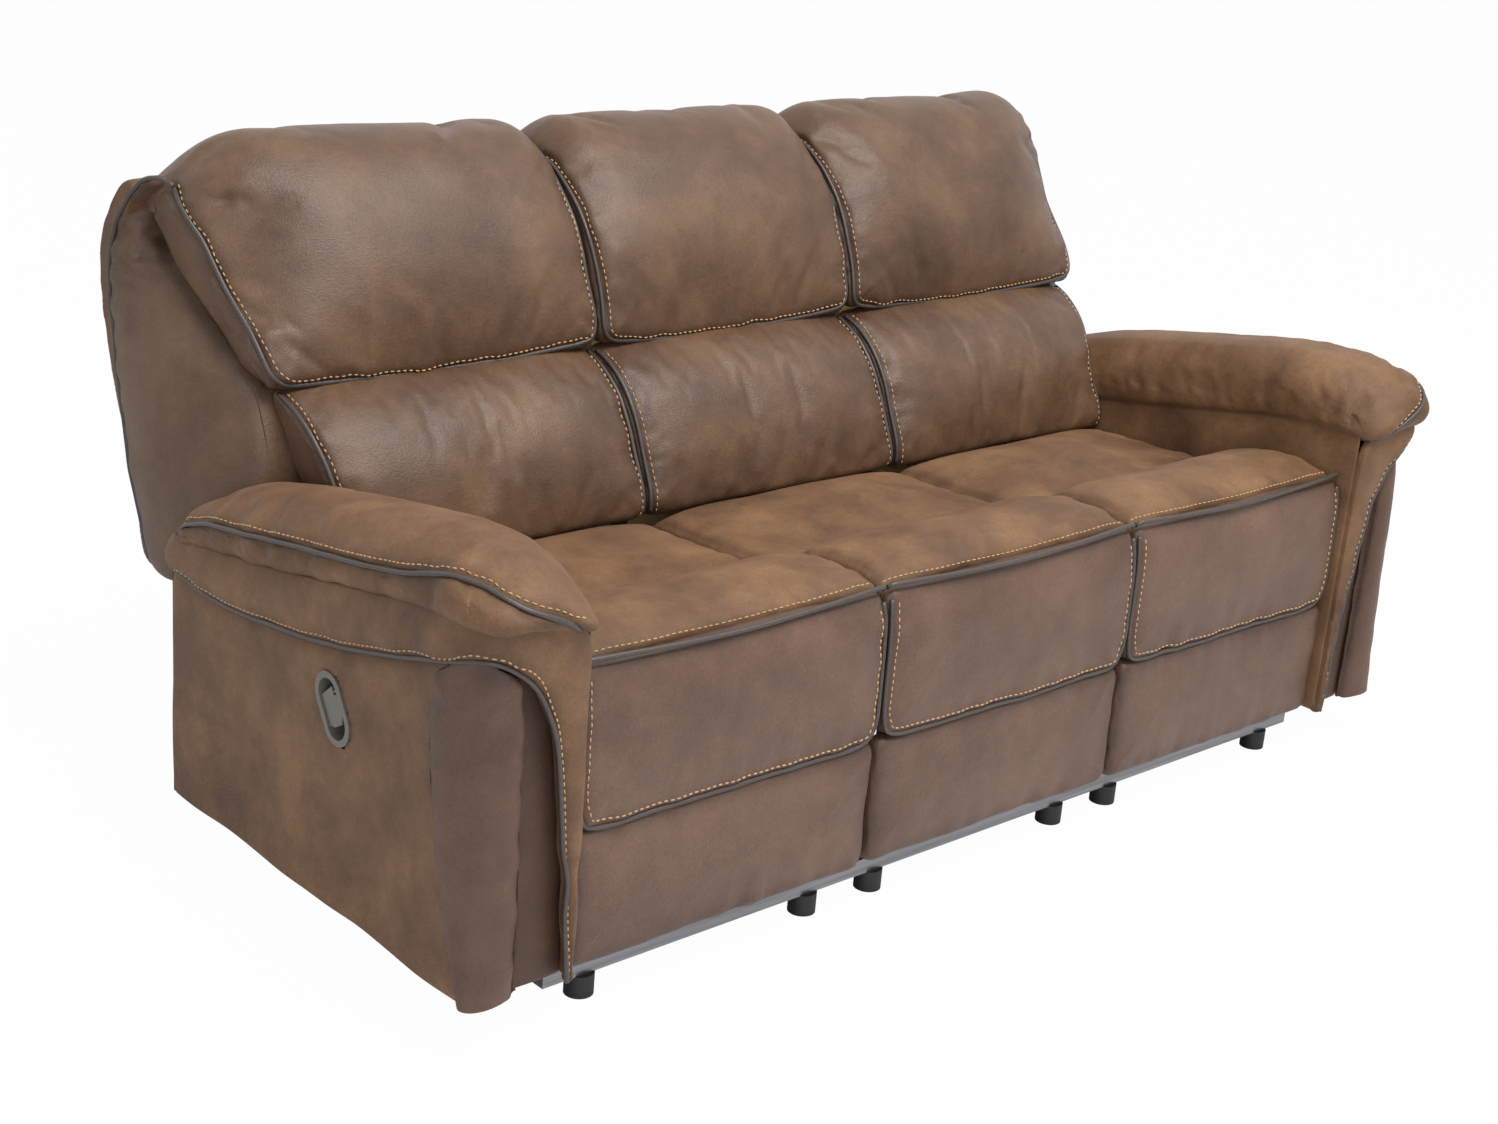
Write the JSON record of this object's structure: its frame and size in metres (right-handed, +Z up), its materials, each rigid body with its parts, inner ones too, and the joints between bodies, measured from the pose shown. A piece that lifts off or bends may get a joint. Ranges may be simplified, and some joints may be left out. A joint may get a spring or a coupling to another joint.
{
  "type": "reclining sofa",
  "caption": "Three-seat sofa with reclining end seats, folding footrests, pillow backs, padded arms and recessed release handles.",
  "frame": {"origin": "on the floor under the middle of the sofa", "axes": "+Z up, +Y towards the back, +X to the sofa's right as seen from the front"},
  "size_m": [2, 1.09, 1.02],
  "materials": {
    "suede": "brown suede-look upholstery with a soft nap",
    "suede_cushion": "brown suede-look upholstery on the padded faces",
    "timber": "sawn hardwood and plywood",
    "mechanism_steel": "black painted steel",
    "rail_steel": "dark lacquered steel tube",
    "glide": "black moulded plastic",
    "handle_plastic": "grey moulded plastic",
    "lining": "black non-woven lining"
  },
  "bodies": {
    "root": {"base_frame": "rail_steel", "base_side_plates": "mechanism_steel", "glide_feet": "glide", "rear_dust_cover": "lining", "handle_cups": "handle_plastic", "seat_frame_middle": "timber", "seat_cushion_middle": "suede_cushion", "front_board_middle": "timber", "bib_pad_middle": "suede_cushion", "lower_panel_middle": "suede", "back_frame_middle": "timber", "lumbar_cushion_middle": "suede_cushion", "head_cushion_middle": "suede_cushion", "back_shell_middle": "suede", "arm_frame_left": "timber", "arm_side_panel_left": "suede", "arm_front_pad_left": "suede", "arm_band_left": "suede", "arm_pad_left": "suede_cushion", "arm_frame_right": "timber", "arm_side_panel_right": "suede", "arm_front_pad_right": "suede", "arm_band_right": "suede", "arm_pad_right": "suede_cushion"},
    "back_left": {"back_frame_left": "timber", "lumbar_cushion_left": "suede_cushion", "head_cushion_left": "suede_cushion", "back_shell_left": "suede", "back_wing_left": "suede_cushion"},
    "front_swing_left": {"swing_link_front_left": "mechanism_steel"},
    "rear_swing_left": {"swing_link_rear_left": "mechanism_steel"},
    "seat_left": {"seat_side_plates_left": "mechanism_steel", "seat_frame_left": "timber", "seat_cushion_left": "suede_cushion"},
    "main_links_left": {"footrest_main_link_left": "mechanism_steel"},
    "cross_links_left": {"footrest_cross_link_left": "mechanism_steel"},
    "low_links_left": {"footrest_low_link_left": "mechanism_steel"},
    "footrest_left": {"footrest_brackets_left": "mechanism_steel", "footrest_board_left": "timber", "footrest_bib_pad_left": "suede_cushion", "footrest_lower_panel_left": "suede"},
    "handle_left": {"release_handle_left": "handle_plastic"},
    "back_right": {"back_frame_right": "timber", "lumbar_cushion_right": "suede_cushion", "head_cushion_right": "suede_cushion", "back_shell_right": "suede", "back_wing_right": "suede_cushion"},
    "front_swing_right": {"swing_link_front_right": "mechanism_steel"},
    "rear_swing_right": {"swing_link_rear_right": "mechanism_steel"},
    "seat_right": {"seat_side_plates_right": "mechanism_steel", "seat_frame_right": "timber", "seat_cushion_right": "suede_cushion"},
    "main_links_right": {"footrest_main_link_right": "mechanism_steel"},
    "cross_links_right": {"footrest_cross_link_right": "mechanism_steel"},
    "low_links_right": {"footrest_low_link_right": "mechanism_steel"},
    "footrest_right": {"footrest_brackets_right": "mechanism_steel", "footrest_board_right": "timber", "footrest_bib_pad_right": "suede_cushion", "footrest_lower_panel_right": "suede"},
    "handle_right": {"release_handle_right": "handle_plastic"}
  },
  "joints": [
    {"name": "back_recline_left", "type": "hinge", "parent": "root", "child": "back_left", "pos_m": [-0.55, 0.11, 0.33], "axis": [-1, 0, 0], "range_deg": [0, 30]},
    {"name": "rear_link_swing_left", "type": "hinge", "parent": "root", "child": "rear_swing_left", "pos_m": [-0.55, -0.005, 0.105], "axis": [1, 0, 0], "range_deg": [0, 34]},
    {"name": "front_link_swing_left", "type": "hinge", "parent": "root", "child": "front_swing_left", "pos_m": [-0.55, -0.205, 0.105], "axis": [1, 0, 0], "range_deg": [0, 34]},
    {"name": "seat_slide_left", "type": "hinge", "parent": "rear_swing_left", "child": "seat_left", "pos_m": [-0.55, 0.02278, 0.19585], "axis": [-1, 0, 0], "range_deg": [0, 34]},
    {"name": "footrest_open_left", "type": "hinge", "parent": "seat_left", "child": "main_links_left", "pos_m": [-0.55, -0.355, 0.4], "axis": [-1, 0, 0], "range_deg": [0, 80]},
    {"name": "footrest_cross_left", "type": "hinge", "parent": "main_links_left", "child": "cross_links_left", "pos_m": [-0.55, -0.37588, 0.25146], "axis": [-1, 0, 0], "range_deg": [-160, 0]},
    {"name": "footrest_low_left", "type": "hinge", "parent": "main_links_left", "child": "low_links_left", "pos_m": [-0.55, -0.39675, 0.10292], "axis": [-1, 0, 0], "range_deg": [-160, 0]},
    {"name": "footrest_tilt_left", "type": "hinge", "parent": "cross_links_left", "child": "footrest_left", "pos_m": [-0.55, -0.37588, 0.40146], "axis": [-1, 0, 0], "range_deg": [0, 160]},
    {"name": "handle_pull_left", "type": "hinge", "parent": "root", "child": "handle_left", "pos_m": [-0.9855, -0.16218, 0.392], "axis": [0, 0.8572, -0.515], "range_deg": [0, 30], "stiffness_Nm_per_rad": 0.4},
    {"name": "back_recline_right", "type": "hinge", "parent": "root", "child": "back_right", "pos_m": [0.55, 0.11, 0.33], "axis": [-1, 0, 0], "range_deg": [0, 30]},
    {"name": "rear_link_swing_right", "type": "hinge", "parent": "root", "child": "rear_swing_right", "pos_m": [0.55, -0.005, 0.105], "axis": [1, 0, 0], "range_deg": [0, 34]},
    {"name": "front_link_swing_right", "type": "hinge", "parent": "root", "child": "front_swing_right", "pos_m": [0.55, -0.205, 0.105], "axis": [1, 0, 0], "range_deg": [0, 34]},
    {"name": "seat_slide_right", "type": "hinge", "parent": "rear_swing_right", "child": "seat_right", "pos_m": [0.55, 0.02278, 0.19585], "axis": [-1, 0, 0], "range_deg": [0, 34]},
    {"name": "footrest_open_right", "type": "hinge", "parent": "seat_right", "child": "main_links_right", "pos_m": [0.55, -0.355, 0.4], "axis": [-1, 0, 0], "range_deg": [0, 80]},
    {"name": "footrest_cross_right", "type": "hinge", "parent": "main_links_right", "child": "cross_links_right", "pos_m": [0.55, -0.37588, 0.25146], "axis": [-1, 0, 0], "range_deg": [-160, 0]},
    {"name": "footrest_low_right", "type": "hinge", "parent": "main_links_right", "child": "low_links_right", "pos_m": [0.55, -0.39675, 0.10292], "axis": [-1, 0, 0], "range_deg": [-160, 0]},
    {"name": "footrest_tilt_right", "type": "hinge", "parent": "cross_links_right", "child": "footrest_right", "pos_m": [0.55, -0.37588, 0.40146], "axis": [-1, 0, 0], "range_deg": [0, 160]},
    {"name": "handle_pull_right", "type": "hinge", "parent": "root", "child": "handle_right", "pos_m": [0.9855, -0.16218, 0.392], "axis": [0, -0.8572, 0.515], "range_deg": [0, 30], "stiffness_Nm_per_rad": 0.4}
  ],
  "couplings": [
    {"joint": "rear_link_swing_left", "follows": "back_recline_left", "ratio": 1.1333},
    {"joint": "front_link_swing_left", "follows": "back_recline_left", "ratio": 1.1333},
    {"joint": "seat_slide_left", "follows": "back_recline_left", "ratio": 1.1333},
    {"joint": "footrest_cross_left", "follows": "footrest_open_left", "ratio": -2},
    {"joint": "footrest_low_left", "follows": "footrest_open_left", "ratio": -2},
    {"joint": "footrest_tilt_left", "follows": "footrest_open_left", "ratio": 2},
    {"joint": "rear_link_swing_right", "follows": "back_recline_right", "ratio": 1.1333},
    {"joint": "front_link_swing_right", "follows": "back_recline_right", "ratio": 1.1333},
    {"joint": "seat_slide_right", "follows": "back_recline_right", "ratio": 1.1333},
    {"joint": "footrest_cross_right", "follows": "footrest_open_right", "ratio": -2},
    {"joint": "footrest_low_right", "follows": "footrest_open_right", "ratio": -2},
    {"joint": "footrest_tilt_right", "follows": "footrest_open_right", "ratio": 2}
  ]
}
